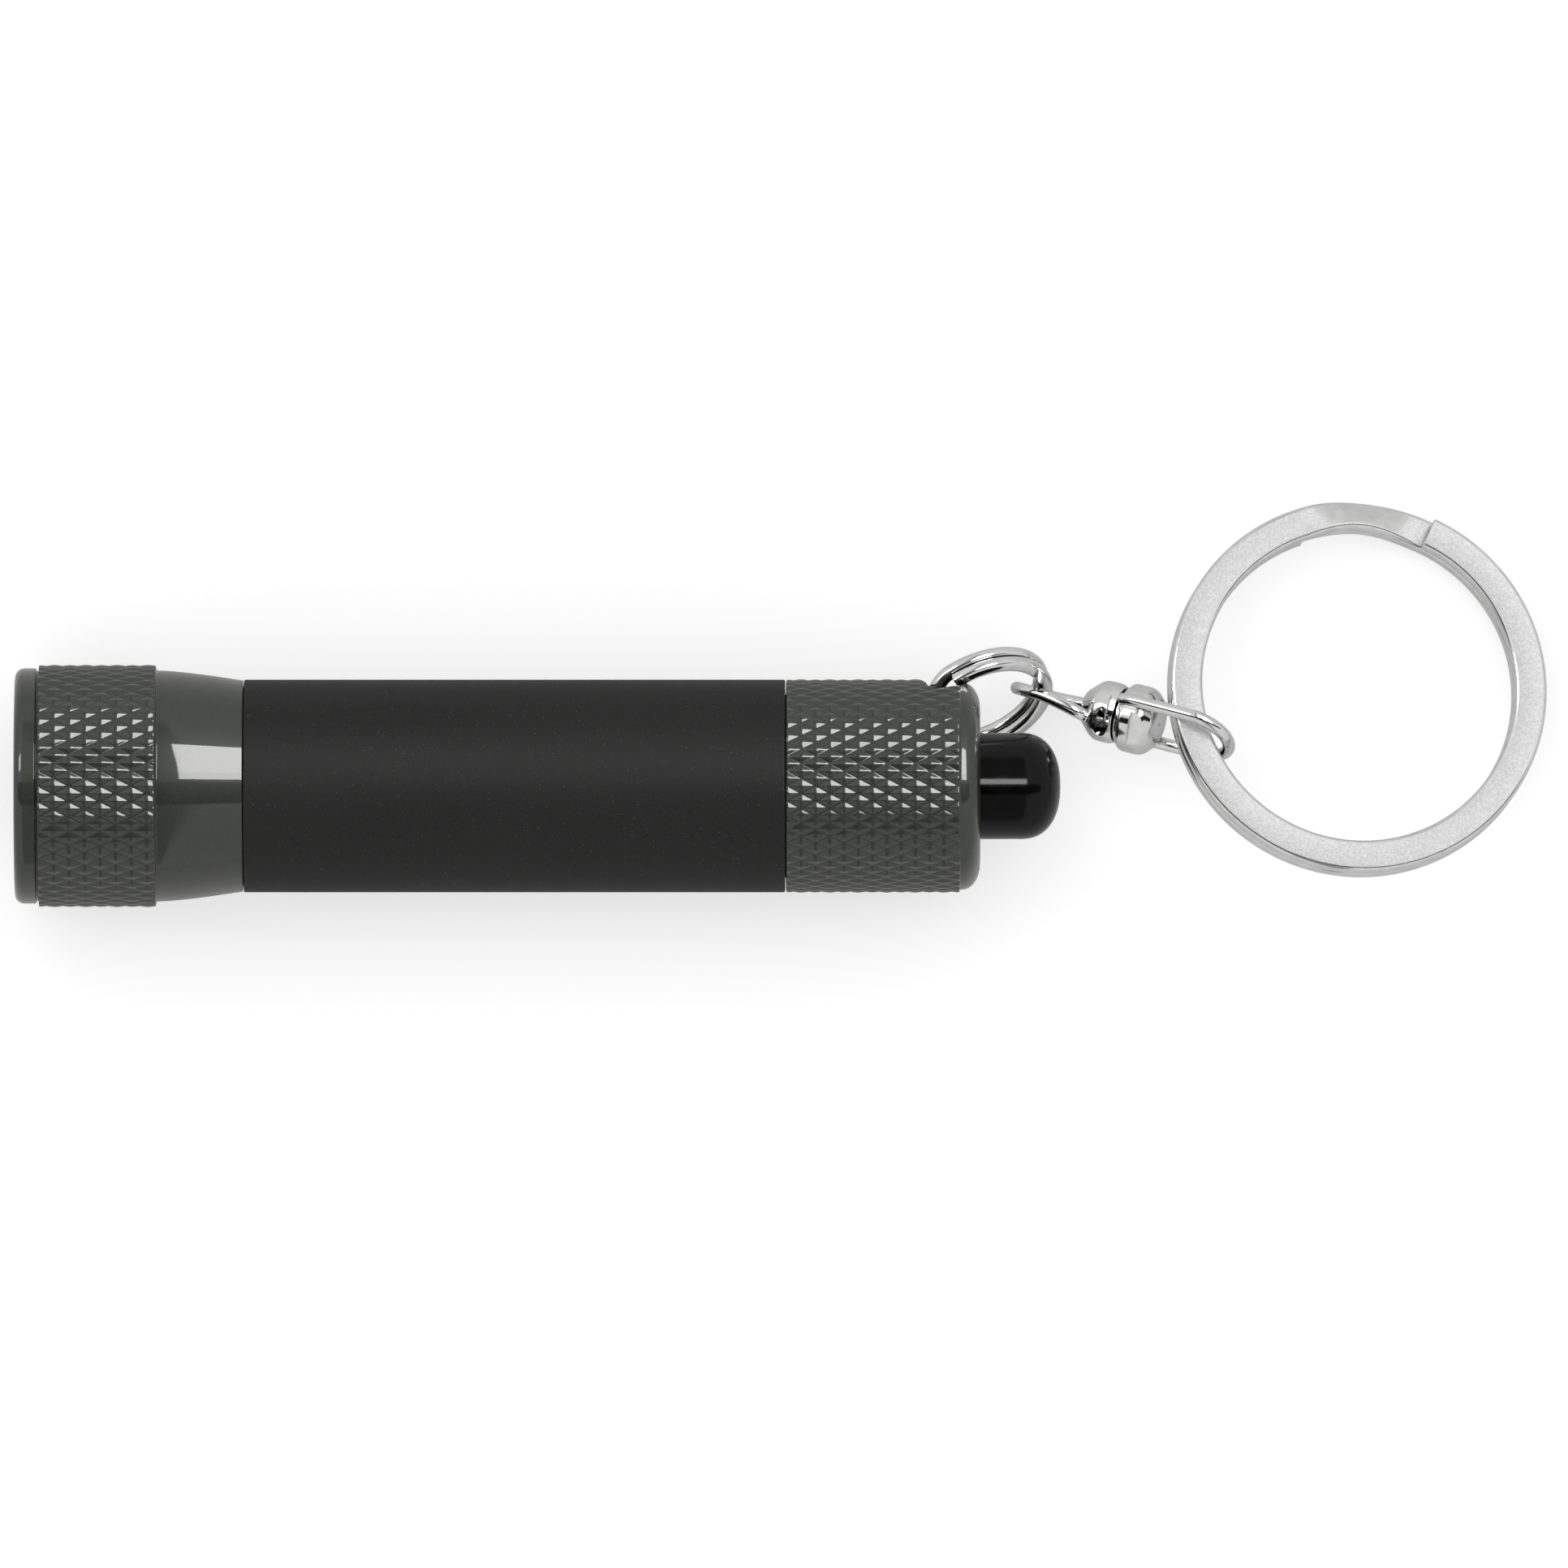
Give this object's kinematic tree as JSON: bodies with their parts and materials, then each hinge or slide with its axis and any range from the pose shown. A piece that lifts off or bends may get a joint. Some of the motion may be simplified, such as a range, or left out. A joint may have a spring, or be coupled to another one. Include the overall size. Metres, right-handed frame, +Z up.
{
  "type": "keychain flashlight",
  "caption": "Small round flashlight with a knurled screw-on head, a push button in its tail, and a key ring on a wire swivel.",
  "frame": {"origin": "centre of the lens's flat front face, on the barrel's axis", "axes": "+X along the barrel from the lens to the button, +Z up from the surface it lies on, +Y across to the side the key ring leans to"},
  "size_m": [0.1009, 0.0267, 0.016],
  "materials": {
    "gunmetal": "glossy dark gunmetal lacquer",
    "charcoal": "satin charcoal anodising",
    "black_plastic": "semi-gloss black",
    "bright_steel": "bright nickel plate",
    "clear_plastic": "clear, polished",
    "chromed_plastic": "vacuum-metallised",
    "black_rubber": "matt",
    "led_epoxy": "clear dome over yellow phosphor",
    "board": "green solder mask",
    "brass": "plain",
    "white_plastic": "moulded",
    "cell_steel": "nickel-plated can"
  },
  "bodies": {
    "barrel": {"body_tube": "charcoal", "tail_cap": "gunmetal", "battery_spring": "bright_steel", "contact_plate": "brass", "switch_housing": "white_plastic", "switch_retainer": "brass", "button_spring": "bright_steel"},
    "battery_pack": {"battery_sleeve": "white_plastic", "cell_1": "cell_steel", "cell_2": "cell_steel", "cell_3": "cell_steel", "cell_4": "cell_steel"},
    "head": {"head_shell": "gunmetal", "lens": "clear_plastic", "lens_gasket": "black_rubber", "reflector": "chromed_plastic", "led": "led_epoxy", "led_board": "board", "led_contact": "brass"},
    "push_button": {"button": "black_plastic", "switch_plunger": "white_plastic"},
    "small_ring": {"small_split_ring": "bright_steel"},
    "eye_half": {"swivel_eye": "bright_steel", "swivel_rivet": "bright_steel"},
    "loop_half": {"swivel_loop": "bright_steel"},
    "ring": {"key_ring": "bright_steel"}
  },
  "joints": [
    {"name": "thread_travel", "type": "slide", "parent": "barrel", "child": "battery_pack", "axis": [-1, 0, 0], "range_m": [0, 0.00225]},
    {"name": "head_unscrew", "type": "hinge", "parent": "battery_pack", "child": "head", "pos_m": [0, 0, 0], "axis": [-1, 0, 0], "range_deg": [0, 1085]},
    {"name": "button_press", "type": "slide", "parent": "barrel", "child": "push_button", "axis": [-1, 0, 0], "range_m": [0, 0.001], "stiffness_N_per_m": 400, "springref_m": -0.0015, "deforming": ["button_spring"]},
    {"name": "small_ring_swing", "type": "hinge", "parent": "barrel", "child": "small_ring", "pos_m": [0.06007, 0.00443, -0.00278], "axis": [-0.0885, 0.5532, 0.8283], "range_deg": [-3, 14]},
    {"name": "eye_swing", "type": "hinge", "parent": "small_ring", "child": "eye_half", "pos_m": [0.06696, 0.00605, -0.00512], "axis": [-0.2668, -0.6423, -0.7186], "range_deg": [-18, 15]},
    {"name": "swivel_spin", "type": "hinge", "parent": "eye_half", "child": "loop_half", "pos_m": [0.07119, 0.00495, -0.0037], "axis": [0.9203, -0.2397, 0.309], "continuous": true},
    {"name": "key_ring_swing", "type": "hinge", "parent": "loop_half", "child": "ring", "pos_m": [0.07696, 0.00345, -0.00176], "axis": [0.2876, -0.943, 0.1674], "range_deg": [-20, 25]}
  ],
  "couplings": [
    {"joint": "head_unscrew", "follows": "thread_travel", "rad_per_m": 8377.6}
  ]
}
